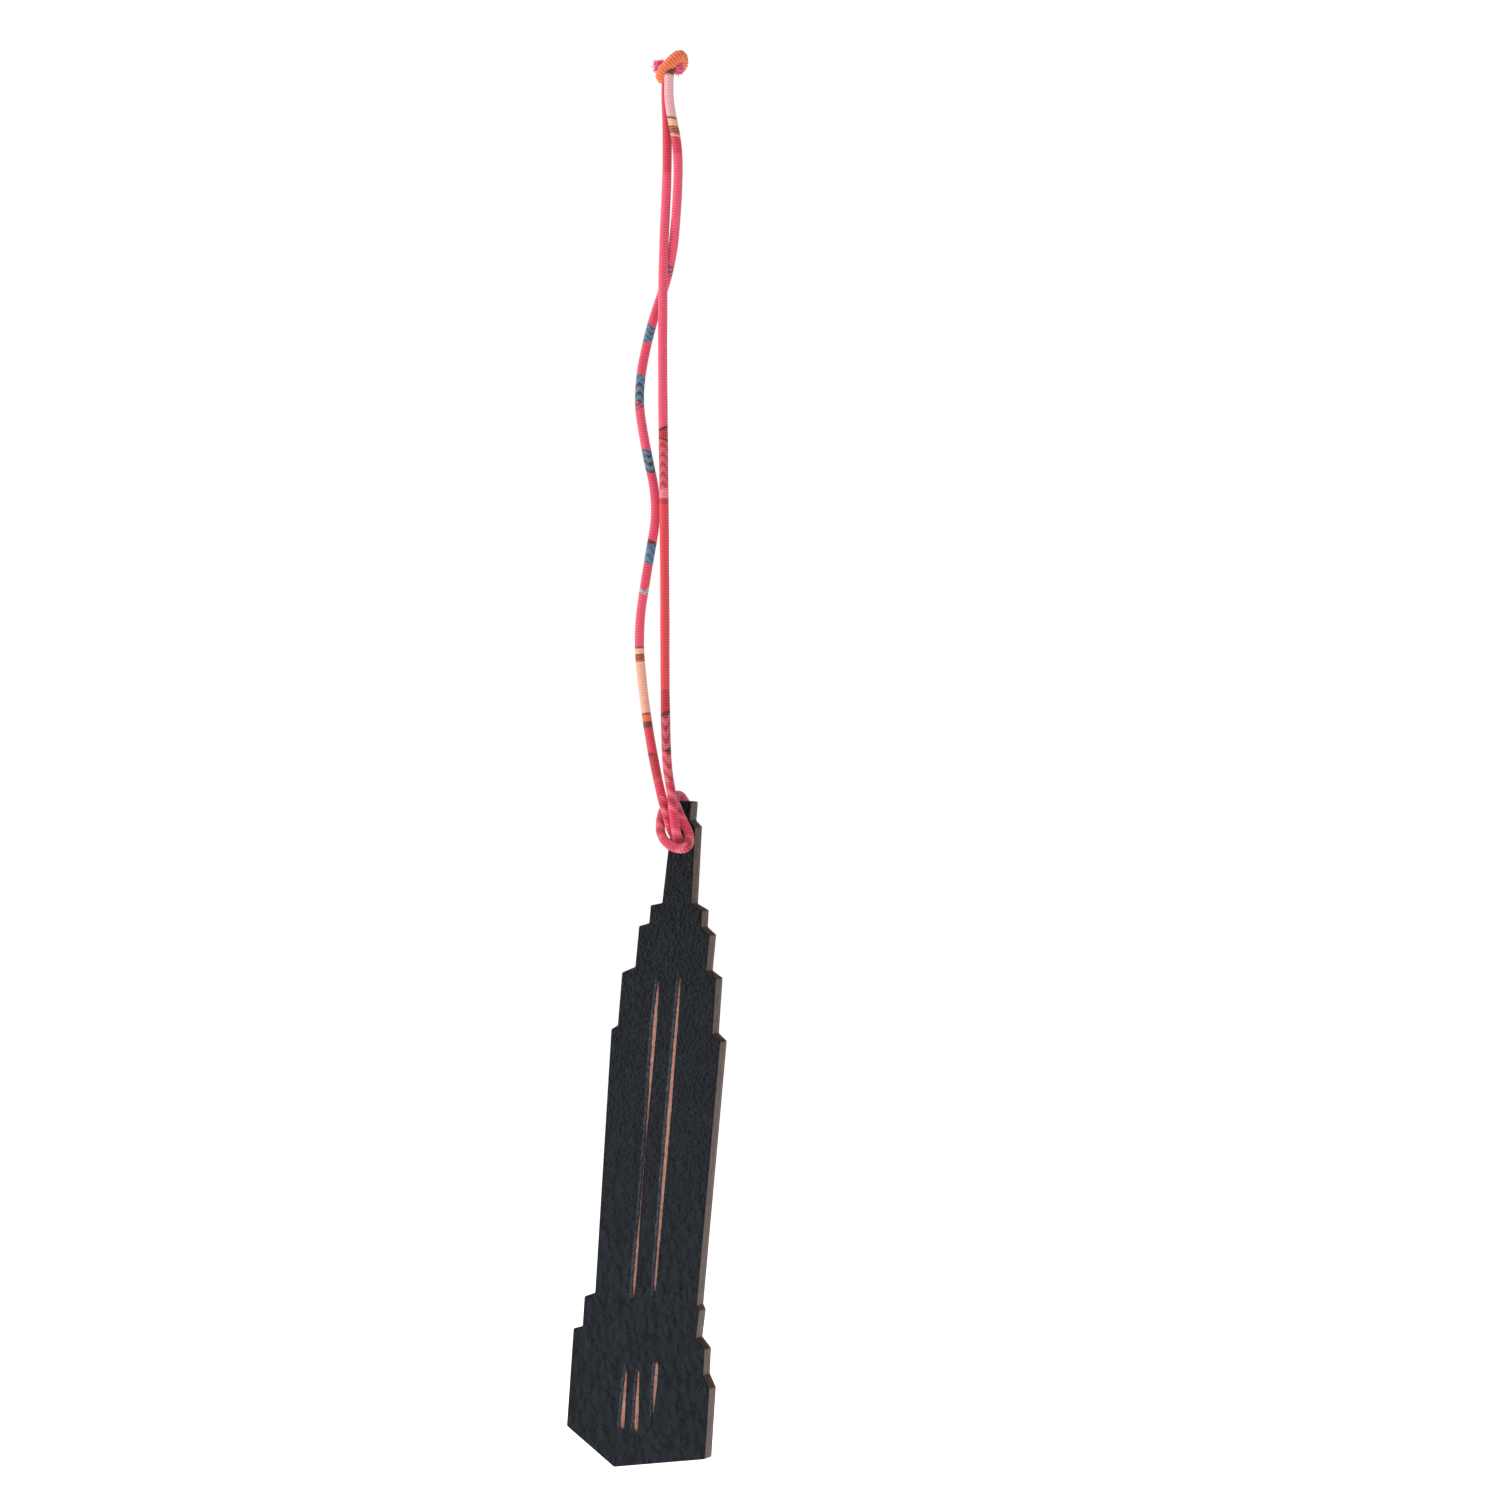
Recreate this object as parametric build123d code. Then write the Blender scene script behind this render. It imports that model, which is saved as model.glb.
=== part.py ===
from build123d import *

import os
from dataclasses import dataclass
from math import cos, radians, sin, tan

# A flat leather tower charm hanging on a looped, printed fabric cord.
# Millimetres, +Z up. The origin is the point under the top knot where a hook or branch
# carries the loop. The charm hangs below it in an XZ plane: its dark, slitted side
# faces -Y, and its plain side faces +Y.

# ---- Driving dimensions ----------------------------------------------------------------

# the three bonded leather layers, from the slitted side to the plain side
SLIT_PANEL_THICKNESS = 1.6
CORE_THICKNESS = 1.1
PLAIN_PANEL_THICKNESS = 0.9

# where the charm hangs
HOLE_X = 3.8
HOLE_Z = -148.5
LEAN_DEG = 5.2

# the tower's outline
MAST_ABOVE_HOLE = 8.0
MAST_TIP_HALF_WIDTH = 1.3
MAST_TIP_HEIGHT = 3.7
FOOT_CORNER_IN = -3.4
FOOT_RISE = 4.4
CORNER_ROUND = 0.35

# the cord and the hole that it passes through twice
CORD_DIAMETER = 1.9
HOLE_CLEARANCE = 0.1

# slits
SLIT_WIDTH = 1.6
LONG_SLIT_LENGTH = 64.0
SHORT_SLIT_LENGTH = 13.0

# the knot that closes the loop
KNOT_X = 1.0
KNOT_Z = 3.5
KNOT_RING_RADIUS = 2.7
KNOT_PITCH_DEG = -5.0
KNOT_TILT_DEG = -47.0
KNOT_CORE_RADIUS = 2.0
TAIL_LENGTH = 2.9
TAIL_FLARE = 1.3


@dataclass(frozen=True)
class Step:
    """One stage of the tower on one side: how far it stands out from the middle at its
    top and at its foot, how far its sloping tread drops, and how high its side is."""

    top: float
    foot: float
    tread: float
    side: float


LEFT_STEPS = {
    "mast": Step(top=2.6, foot=3.1, tread=1.1, side=15.4),
    "crown": Step(top=5.5, foot=5.5, tread=0.7, side=3.5),
    "upper_setback": Step(top=7.6, foot=7.7, tread=0.8, side=8.0),
    "lower_setback": Step(top=10.4, foot=10.4, tread=1.4, side=10.4),
    "shaft": Step(top=11.7, foot=10.5, tread=0.9, side=51.8),
    "belt": Step(top=12.7, foot=12.6, tread=1.0, side=5.9),
    "base": Step(top=14.5, foot=14.2, tread=0.7, side=19.3),
}

RIGHT_STEPS = {
    "mast": Step(top=2.6, foot=3.1, tread=1.1, side=15.0),
    "crown": Step(top=5.5, foot=5.6, tread=1.0, side=3.3),
    "upper_setback": Step(top=7.5, foot=7.4, tread=1.3, side=7.0),
    "lower_setback": Step(top=9.6, foot=9.8, tread=1.2, side=10.8),
    "shaft": Step(top=11.6, foot=11.3, tread=1.3, side=51.5),
    "belt": Step(top=11.9, foot=11.7, tread=1.0, side=5.4),
    "base": Step(top=13.7, foot=13.9, tread=1.9, side=5.0),
    "plinth": Step(top=15.4, foot=15.7, tread=2.5, side=13.7),
}


@dataclass(frozen=True)
class Slit:
    """One slit: its place across the charm at its top, how far its top stands above the
    top of the stage that it starts in, and how far it drifts across over its length."""

    across: float
    above: float
    drift: float


LONG_SLITS = [
    Slit(across=-2.8, above=0.0, drift=0.3),
    Slit(across=1.8, above=1.4, drift=0.1),
]
SHORT_SLITS = [
    Slit(across=-2.7, above=-5.5, drift=0.1),
    Slit(across=-0.1, above=-5.5, drift=0.5),
    Slit(across=3.7, above=-3.9, drift=0.0),
]

# ---- Sizes worked out from them --------------------------------------------------------

CORD_RADIUS = CORD_DIAMETER / 2
HOLE_RADIUS = CORD_DIAMETER + HOLE_CLEARANCE
CHARM_THICKNESS = SLIT_PANEL_THICKNESS + CORE_THICKNESS + PLAIN_PANEL_THICKNESS
SLITTED_FACE_Y = -CHARM_THICKNESS / 2
CORE_FACE_Y = SLITTED_FACE_Y + SLIT_PANEL_THICKNESS
PLAIN_PANEL_Y = CORE_FACE_Y + CORE_THICKNESS


# ---- The charm -------------------------------------------------------------------------


def on_charm(across, y, up):
    """A point given across and up the leaning charm from its hole, in the frame."""
    lean = radians(LEAN_DEG)
    return (
        HOLE_X + across * cos(lean) + up * sin(lean),
        y,
        HOLE_Z - across * sin(lean) + up * cos(lean),
    )


def charm_plane(y):
    """The charm's drawing plane at y: x across, y up the charm, z towards the viewer."""
    lean = radians(LEAN_DEG)
    return Plane(
        origin=(HOLE_X, y, HOLE_Z), x_dir=(cos(lean), 0, -sin(lean)), z_dir=(0, -1, 0)
    )


def side_points(steps, sign):
    """The corners of one side, from the mast's tip down to the foot."""
    up = MAST_ABOVE_HOLE - MAST_TIP_HEIGHT
    corners = [
        (sign * MAST_TIP_HALF_WIDTH, MAST_ABOVE_HOLE),
        (sign * MAST_TIP_HALF_WIDTH, up),
    ]
    for step in steps.values():
        up -= step.tread
        corners.append((sign * step.top, up))
        up -= step.side
        corners.append((sign * step.foot, up))
    return corners


def top_of(name):
    """How high a stage's tread ends on the left side, from the hole."""
    up = MAST_ABOVE_HOLE - MAST_TIP_HEIGHT
    for stage, step in LEFT_STEPS.items():
        up -= step.tread
        if stage == name:
            return up
        up -= step.side
    raise KeyError(name)


def tower_outline():
    """The tower's face, with slightly rounded die-cut corners."""
    left = side_points(LEFT_STEPS, -1)
    right = side_points(RIGHT_STEPS, 1)
    foot_corner = (FOOT_CORNER_IN, right[-1][1] - FOOT_RISE)
    corners = [*right, foot_corner, *reversed(left)]
    face = make_face(Polyline(*corners, close=True))
    return fillet(face.vertices(), CORNER_ROUND)


def layer(y, thickness):
    """One leather layer with the hanging hole, from y towards +Y."""
    face = tower_outline() - Circle(HOLE_RADIUS)
    return extrude(charm_plane(y) * face, -thickness)


def slit_cutter(slit, stage, length):
    """The space of a narrow slit through the slitted panel."""
    half = SLIT_WIDTH / 2
    top = top_of(stage) + slit.above
    foot = top - length
    end = slit.across + slit.drift
    strip = make_face(
        Polyline(
            (slit.across - half, top),
            (slit.across + half, top),
            (end + half, foot),
            (end - half, foot),
            close=True,
        )
    )
    return extrude(charm_plane(SLITTED_FACE_Y) * strip, -SLIT_PANEL_THICKNESS)


def slitted_panel():
    """The dark panel of the seen side, with two long and three short slits."""
    panel = layer(SLITTED_FACE_Y, SLIT_PANEL_THICKNESS)
    for slit in LONG_SLITS:
        panel -= slit_cutter(slit, "lower_setback", LONG_SLIT_LENGTH)
    for slit in SHORT_SLITS:
        panel -= slit_cutter(slit, "base", SHORT_SLIT_LENGTH)
    return panel


# ---- The cord --------------------------------------------------------------------------

# The cord's route from the knot down the left strand, through the hitch on the charm's
# mast, and up the right strand. The hitch's points are across, y and up the charm.
LEFT_STRAND = [
    (0.8, -1.1, -0.2),
    (0.8, -1.1, -4.9),
    (2.9, -1.1, -13.7),
    (2.2, -0.2, -24.4),
    (0.2, 1.4, -36.6),
    (-4.1, 1.3, -47.2),
    (-6.8, 0.6, -60.8),
    (-4.8, 0.1, -71.2),
    (-1.9, 0.0, -83.0),
    (-4.1, -0.2, -94.7),
    (-6.2, -0.6, -108.0),
    (-4.2, -1.4, -122.0),
    (-2.2, -2.6, -130.3),
    (-0.6, -3.6, -135.6),
]

HITCH = [
    (-3.9, -4.5, 8.8),
    (-2.8, -3.9, 5.3),
    (-0.78, -3.8, 0.57),
    (-0.78, 3.7, 0.57),
    (-3.0, 3.1, 3.8),
    (-4.4, 2.2, 6.6),
    (-4.7, -1.2, 6.2),
    (-4.6, -2.4, 3.6),
    (-3.5, -4.3, 1.3),
    (-1.4, -5.6, -0.4),
    (0.8, -6.0, -1.1),
    (2.75, -4.8, -0.9),
    (2.3, -2.9, 1.5),
    (0.0, -3.0, 4.8),
    (-2.2, -3.1, 8.8),
    (-2.9, 3.0, 9.0),
    (-1.0, 3.9, 5.0),
    (0.78, 4.5, -0.57),
    (0.78, -5.0, -0.57),
    (-0.6, -5.4, 5.4),
    (-1.6, -5.1, 9.8),
]

RIGHT_STRAND = [
    (1.7, -3.8, -134.6),
    (1.0, -3.0, -128.4),
    (0.2, -1.6, -117.5),
    (-0.1, -1.0, -100.0),
    (-0.4, -0.8, -78.0),
    (-0.7, -0.8, -56.5),
    (-0.6, -0.8, -35.5),
    (-0.2, 0.3, -19.5),
    (-0.5, 1.1, -9.7),
    (-0.9, 1.1, -0.4),
]


def middle(a, b):
    """The point halfway along a run."""
    return (Vector(*a) + Vector(*b)) / 2


def corner_radii(points):
    """The largest arc that each corner of a route leaves room for."""
    radii = []
    for before, corner, after in zip(points, points[1:], points[2:]):
        arriving = Vector(*corner) - Vector(*before)
        leaving = Vector(*after) - Vector(*corner)
        turn = radians(arriving.get_angle(leaving))
        radii.append(0.45 * min(arriving.length, leaving.length) / tan(turn / 2))
    return radii


def cord_tube(points, radii):
    """A round tube along straight runs joined by tangent arcs."""
    path = FilletPolyline(*points, radius=radii)
    start = Plane(origin=path @ 0, z_dir=path % 0)
    tube = sweep(start * Circle(CORD_RADIUS), path=path)
    section = Circle(CORD_RADIUS).area
    print(
        f"  length {path.length:.1f}, volume {tube.volume:.2f}"
        f" against section x length {section * path.length:.2f}"
    )
    return tube


def cord():
    """The cord in three tubes that meet end to end just above the hitch."""
    hitch = [on_charm(*point) for point in HITCH]
    route = [*LEFT_STRAND, *hitch, *RIGHT_STRAND]
    radii = corner_radii(route)
    print("corner radii:", ", ".join(f"{r:.1f}" for r in radii))
    first = len(LEFT_STRAND)
    last = first + len(hitch)
    neck_in = middle(LEFT_STRAND[-1], hitch[0])
    neck_out = middle(hitch[-1], RIGHT_STRAND[0])
    return {
        "cord_left_strand": cord_tube([*LEFT_STRAND, neck_in], radii[: first - 1]),
        "cord_hitch": cord_tube([neck_in, *hitch, neck_out], radii[first - 1 : last - 1]),
        "cord_right_strand": cord_tube([neck_out, *RIGHT_STRAND], radii[last - 1 :]),
    }


# ---- The knot --------------------------------------------------------------------------


def knot_place():
    """The tilted seat of the knot's wrap."""
    return Pos(KNOT_X, 0, KNOT_Z) * Rot(0, KNOT_TILT_DEG, 0) * Rot(KNOT_PITCH_DEG, 0, 0)


def top_knot():
    """The wrap around the two strands, drawn tight on them."""
    ring = Torus(KNOT_RING_RADIUS, CORD_RADIUS * 1.2)
    core = Cylinder(KNOT_CORE_RADIUS, CORD_DIAMETER)
    return knot_place() * (ring + core)


def frayed_end(knot, start, towards):
    """A cut cord end that flares as it comes out of the knot."""
    seat = Plane(origin=start, z_dir=towards)
    stub = Cone(
        CORD_RADIUS * 0.9,
        TAIL_FLARE,
        TAIL_LENGTH,
        align=(Align.CENTER, Align.CENTER, Align.MIN),
    )
    loose = (seat * stub) - knot
    return max(loose.solids(), key=lambda solid: solid.volume)


# ---- The whole ornament ----------------------------------------------------------------


def build():
    """Every node, by name."""
    knot = top_knot()
    return {
        "slitted_panel": slitted_panel(),
        "core_layer": layer(CORE_FACE_Y, CORE_THICKNESS),
        "plain_panel": layer(PLAIN_PANEL_Y, PLAIN_PANEL_THICKNESS),
        **cord(),
        "top_knot": knot,
        "frayed_end_left": frayed_end(knot, (-0.3, 1.2, 3.4), (-1.0, 0.15, -0.1)),
        "frayed_end_right": frayed_end(knot, (1.0, -0.1, 3.4), (0.8, -0.2, -0.6)),
    }


os.makedirs("parts", exist_ok=True)
for name, solid in build().items():
    print(name)
    export_step(solid, f"parts/{name}.step")
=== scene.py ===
import logging
import math
import random
from contextlib import contextmanager
from dataclasses import dataclass
from enum import Enum
from typing import Callable, Iterator, Sequence

import bmesh
import bpy
import numpy as np
from mathutils import Matrix, Vector, noise


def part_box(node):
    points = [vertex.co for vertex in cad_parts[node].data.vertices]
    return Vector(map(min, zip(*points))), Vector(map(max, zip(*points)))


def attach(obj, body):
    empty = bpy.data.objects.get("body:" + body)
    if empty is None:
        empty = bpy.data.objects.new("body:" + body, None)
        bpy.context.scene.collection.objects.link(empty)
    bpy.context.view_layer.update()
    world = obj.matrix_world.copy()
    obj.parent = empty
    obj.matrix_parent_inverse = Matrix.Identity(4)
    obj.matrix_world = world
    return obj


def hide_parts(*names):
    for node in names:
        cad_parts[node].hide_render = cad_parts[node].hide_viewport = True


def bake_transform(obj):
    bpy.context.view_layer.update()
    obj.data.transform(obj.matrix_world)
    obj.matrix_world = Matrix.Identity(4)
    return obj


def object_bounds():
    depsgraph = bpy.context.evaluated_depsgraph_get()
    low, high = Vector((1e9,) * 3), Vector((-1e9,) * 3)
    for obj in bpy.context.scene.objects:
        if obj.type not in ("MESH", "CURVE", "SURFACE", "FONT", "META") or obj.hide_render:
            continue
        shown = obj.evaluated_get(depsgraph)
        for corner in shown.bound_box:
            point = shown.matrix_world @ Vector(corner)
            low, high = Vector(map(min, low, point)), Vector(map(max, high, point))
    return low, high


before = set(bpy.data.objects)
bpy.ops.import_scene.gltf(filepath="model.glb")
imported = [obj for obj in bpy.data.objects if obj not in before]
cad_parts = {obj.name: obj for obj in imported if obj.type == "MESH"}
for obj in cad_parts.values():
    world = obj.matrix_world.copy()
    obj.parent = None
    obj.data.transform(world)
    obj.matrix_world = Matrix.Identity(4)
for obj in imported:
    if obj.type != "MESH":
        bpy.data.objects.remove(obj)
CAD_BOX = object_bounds()

log = logging.getLogger("tower_charm")

MM = 0.001
Point = tuple[float, float, float]
Colour = tuple[float, float, float]
Socket = bpy.types.NodeSocket
Piece = bpy.types.Object
Finish = bpy.types.Material


# ---- Small helpers ---------------------------------------------------------------------


def srgb(red: int, green: int, blue: int) -> Colour:
    """Turn a display colour into the linear colour that shaders take.

    Args:
        red: Red from 0 to 255.
        green: Green from 0 to 255.
        blue: Blue from 0 to 255.

    Returns:
        The linear red, green and blue.
    """
    return tuple(
        c / 12.92 if c <= 0.04045 else ((c + 0.055) / 1.055) ** 2.4
        for c in (red / 255, green / 255, blue / 255)
    )


def deselect_all() -> None:
    """Leave edit mode and deselect every object."""
    if bpy.context.object and bpy.context.object.mode != "OBJECT":
        bpy.ops.object.mode_set(mode="OBJECT")
    bpy.ops.object.select_all(action="DESELECT")


def add_object(name: str, data: bpy.types.ID) -> Piece:
    """Put a new object with that data into the scene."""
    added = bpy.data.objects.new(name, data)
    bpy.context.scene.collection.objects.link(added)
    return added


def make_active(piece: Piece) -> None:
    """Select one object alone and make it the active one."""
    deselect_all()
    piece.select_set(True)
    bpy.context.view_layer.objects.active = piece


@contextmanager
def editing(piece: Piece) -> Iterator[None]:
    """Hold a piece open in edit mode."""
    make_active(piece)
    bpy.ops.object.mode_set(mode="EDIT")
    yield
    bpy.ops.object.mode_set(mode="OBJECT")


def settle(piece: Piece) -> None:
    """Put a piece's place, turn and size into its mesh."""
    make_active(piece)
    bpy.ops.object.transform_apply(location=True, rotation=True, scale=True)


def apply_modifiers(piece: Piece) -> None:
    """Apply each modifier of a piece, in order."""
    make_active(piece)
    for modifier in list(piece.modifiers):
        bpy.ops.object.modifier_apply(modifier=modifier.name)


def join(pieces: Sequence[Piece], name: str) -> Piece:
    """Join pieces into one.

    Args:
        pieces: The objects to join.
        name: The name of the joined piece.

    Returns:
        The joined piece.
    """
    deselect_all()
    for piece in pieces:
        piece.select_set(True)
    bpy.context.view_layer.objects.active = pieces[0]
    bpy.ops.object.join()
    pieces[0].name = name
    return pieces[0]


def dress(piece: Piece, *materials: Finish) -> None:
    """Give a piece its materials, the first of them on every face."""
    piece.data.materials.clear()
    for material in materials:
        piece.data.materials.append(material)


# ---- Finishes --------------------------------------------------------------------------


class Graph:
    """A material and its node tree, with short ways to add and join nodes."""

    def __init__(self, name: str) -> None:
        """Start an empty principled material.

        Args:
            name: The material's name.
        """
        self.material = bpy.data.materials.new(name)
        self.material.use_nodes = True
        self.tree = self.material.node_tree
        self.tree.nodes.clear()
        self.output = self.add("OutputMaterial")
        self.shader = self.add("BsdfPrincipled")
        self.link(self.shader.outputs[0], self.output.inputs["Surface"])

    def add(self, kind: str, inputs: dict[str | int, object] | None = None,
            **settings: str) -> bpy.types.Node:
        """Add a shader node.

        Args:
            kind: What the node is, as in the name of its type.
            inputs: What goes into its inputs, by name or number.
            settings: What it is set to. Some inputs exist only under one setting, so this
                comes first.

        Returns:
            The node.
        """
        node = self.tree.nodes.new(f"ShaderNode{kind}")
        for name, setting in settings.items():
            setattr(node, name, setting)
        for name, value in (inputs or {}).items():
            self.feed(value, node.inputs[name])
        return node

    def link(self, source: Socket, target: Socket) -> None:
        """Join an output to an input."""
        self.tree.links.new(source, target)

    def feed(self, value: object, socket: Socket) -> None:
        """Set an input from a socket, a colour or a number."""
        if isinstance(value, Socket):
            self.link(value, socket)
        elif isinstance(value, tuple) and len(value) == 3 and socket.type == "RGBA":
            socket.default_value = (*value, 1.0)
        else:
            socket.default_value = value

    def coordinates(self, scale: Point, turn: Point = (0, 0, 0)) -> Socket:
        """The piece's own coordinates, scaled and then turned.

        Args:
            scale: The scale along each axis, such as 1000 for millimetres.
            turn: The turn about each axis, in radians.

        Returns:
            The vector socket.
        """
        source = self.add("TexCoord")
        placed = {"Vector": source.outputs["Object"], "Scale": scale, "Rotation": turn}
        return self.add("Mapping", placed).outputs["Vector"]

    def surface(self, scale: Point) -> Socket:
        """The piece's own UV map, scaled."""
        source = self.add("UVMap")
        source.uv_map = "along"
        placed = {"Vector": source.outputs["UV"], "Scale": scale}
        return self.add("Mapping", placed).outputs["Vector"]

    def noise(
        self,
        vector: Socket,
        scale: float,
        detail: float = 3.0,
        roughness: float = 0.55,
        colour: bool = False,
    ) -> Socket:
        """A noise texture.

        Args:
            vector: Where it is read.
            scale: Its scale.
            detail: Its octaves.
            roughness: How strong the finer octaves are.
            colour: Whether to return three values.

        Returns:
            The noise's value or colour socket.
        """
        values = {"Vector": vector, "Scale": scale, "Detail": detail, "Roughness": roughness}
        return self.add("TexNoise", values).outputs["Color" if colour else "Fac"]

    def cells(self, vector: Socket, scale: float) -> Socket:
        """The distance to the nearest cell border, 0 in the creases."""
        values = {"Vector": vector, "Scale": scale}
        node = self.add("TexVoronoi", values, feature="DISTANCE_TO_EDGE")
        return node.outputs["Distance"]

    def pebbles(self, vector: Socket, scale: float) -> Socket:
        """The distance to the middle of the nearest of many rounded cells."""
        values = {"Vector": vector, "Scale": scale, "Smoothness": 0.35}
        node = self.add("TexVoronoi", values, feature="SMOOTH_F1")
        return node.outputs["Distance"]

    def math(self, operation: str, a: object, b: object = 0.0) -> Socket:
        """A math node on sockets or numbers."""
        node = self.add("Math", {0: a, 1: b}, operation=operation)
        return node.outputs[0]

    def shift(
        self, vector: Socket, colour: Socket, amount: float
    ) -> Socket:
        """Move coordinates about by a noise colour.

        Args:
            vector: The coordinates.
            colour: The noise.
            amount: How far the noise moves them.

        Returns:
            The moved coordinates.
        """
        scaled = self.add("VectorMath", {0: colour, "Scale": amount}, operation="SCALE")
        added = self.add("VectorMath", {0: vector, 1: scaled.outputs[0]}, operation="ADD")
        return added.outputs[0]

    def span(
        self, value: Socket, low: float, high: float,
        to_low: float = 0.0, to_high: float = 1.0,
    ) -> Socket:
        """Spread a value smoothly from one range to another.

        Args:
            value: The value.
            low: Where the range starts.
            high: Where the range ends.
            to_low: The result at the start.
            to_high: The result at the end.

        Returns:
            The result.
        """
        ends = {"From Min": low, "From Max": high, "To Min": to_low, "To Max": to_high}
        node = self.add("MapRange", {"Value": value, **ends}, interpolation_type="SMOOTHSTEP")
        return node.outputs["Result"]

    def mix(self, amount: object, a: object, b: object) -> Socket:
        """Mix two colours."""
        return self.add("Mix", {"Factor": amount, 6: a, 7: b}, data_type="RGBA").outputs[2]

    def blend(self, amount: object, a: object, b: object) -> Socket:
        """Mix two values."""
        return self.add("Mix", {"Factor": amount, 2: a, 3: b}).outputs[0]

    def axis(self, vector: Socket, name: str) -> Socket:
        """One component of a vector."""
        return self.add("SeparateXYZ", {0: vector}).outputs[name]

    def attribute(self, name: str) -> Socket:
        """A colour that the piece's mesh carries."""
        node = self.add("Attribute")
        node.attribute_name = name
        return node.outputs["Color"]

    def bump(
        self,
        height: Socket,
        depth: float,
        under: Socket | None = None,
    ) -> Socket:
        """A relief.

        Args:
            height: The height, from 0 to 1.
            depth: What a height of 1 is, in metres.
            under: The normal of a coarser relief below this one.

        Returns:
            The normal socket.
        """
        node = self.add("Bump", {"Strength": 1.0, "Distance": depth, "Height": height})
        if under is not None:
            self.link(under, node.inputs["Normal"])
        return node.outputs["Normal"]

    def finish(
        self,
        colour: object,
        roughness: object,
        normal: Socket | None = None,
        specular: float = 0.5,
        sheen: float = 0.0,
        sheen_tint: Colour = (1.0, 1.0, 1.0),
    ) -> Finish:
        """Set the shader and return the material.

        Args:
            colour: The base colour, as a socket or a colour.
            roughness: The roughness, as a socket or a number.
            normal: The relief's normal.
            specular: The specular level.
            sheen: The sheen of fibres that stand up from the surface.
            sheen_tint: The sheen's colour.

        Returns:
            The finished material.
        """
        values = {
            "Base Color": colour, "Roughness": roughness, "Specular IOR Level": specular,
            "Sheen Weight": sheen, "Sheen Roughness": 0.5, "Sheen Tint": sheen_tint,
        }
        for name, value in values.items():
            self.feed(value, self.shader.inputs[name])
        if normal is not None:
            self.link(normal, self.shader.inputs["Normal"])
        return self.material


@dataclass(frozen=True)
class PebbledLeather:
    """Dyed leather with a pebbled grain that grows coarser towards the foot, its creases darkened with
    painted shade.
    """

    name: str = "pebbled_leather"
    dye: Colour = srgb(18, 24, 31)
    # Painted shade: the colour that the creases are darkened towards.
    crease: Colour = srgb(5, 6, 8)
    fine_per_mm: float = 1.3
    coarse_per_mm: float = 0.5
    slant: float = math.radians(38.0)
    relief: float = 0.00105
    top_z: float = -160.0
    foot_z: float = -255.0

    def grain(
        self, g: Graph, place: Socket, per_mm: float
    ) -> tuple[Socket, Socket]:
        """Round pebbles of one size with thin creases between them.

        Args:
            g: The material's graph.
            place: The coordinates in millimetres.
            per_mm: How many pebbles there are in a millimetre.

        Returns:
            The pebbles' height and the creases, 0 in a crease.
        """
        wander = g.noise(place, per_mm * 0.45, 2.0, colour=True)
        warped = g.shift(place, wander, 0.9 / per_mm)
        warped = g.shift(warped, g.noise(place, per_mm * 2.2, 2.0, colour=True), 0.28 / per_mm)
        dome = g.span(g.pebbles(warped, per_mm), 0.8, 0.0)
        open_crease = g.span(g.cells(warped, per_mm), 0.0, 0.2)
        broken = g.span(g.noise(place, per_mm * 0.9, 2.0), 0.38, 0.6)
        return dome, g.math("MAXIMUM", open_crease, broken)

    def build(self) -> Finish:
        """Make the leather's material.

        Returns:
            The material.
        """
        g = Graph(self.name)
        place = g.coordinates((1000, 1000, 1000))
        drawn_out = g.coordinates((1150, 1000, 800), turn=(0, self.slant, 0))
        down = g.span(g.axis(place, "Z"), self.top_z, self.foot_z)
        fine_dome, fine_crease = self.grain(g, place, self.fine_per_mm)
        wide_dome, wide_crease = self.grain(g, drawn_out, self.coarse_per_mm)
        dome = g.blend(down, fine_dome, wide_dome)
        crease = g.blend(down, fine_crease, wide_crease)
        pores = g.noise(place, 6.0, 4.0, 0.65)
        broad = g.noise(place, 0.3, 3.0)
        height = g.math("ADD", g.math("MULTIPLY", dome, 0.7), g.math("MULTIPLY", crease, 0.16))
        height = g.math("ADD", height, g.math("MULTIPLY", fine_dome, 0.16))
        height = g.math("ADD", height, g.math("MULTIPLY", broad, 0.5))
        normal = g.bump(pores, self.relief * 0.12, g.bump(height, self.relief))
        worn = g.mix(g.span(broad, 0.35, 0.7), self.dye, srgb(23, 30, 38))
        # Painted shade: the colour darkens towards the crease colour in the creases.
        colour = g.mix(g.span(crease, 0.0, 1.0, 0.3, 1.0), self.crease, worn)
        roughness = g.blend(dome, 0.6, g.span(pores, 0.3, 0.7, 0.38, 0.5))
        return g.finish(colour, roughness, normal, specular=0.17)


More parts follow.
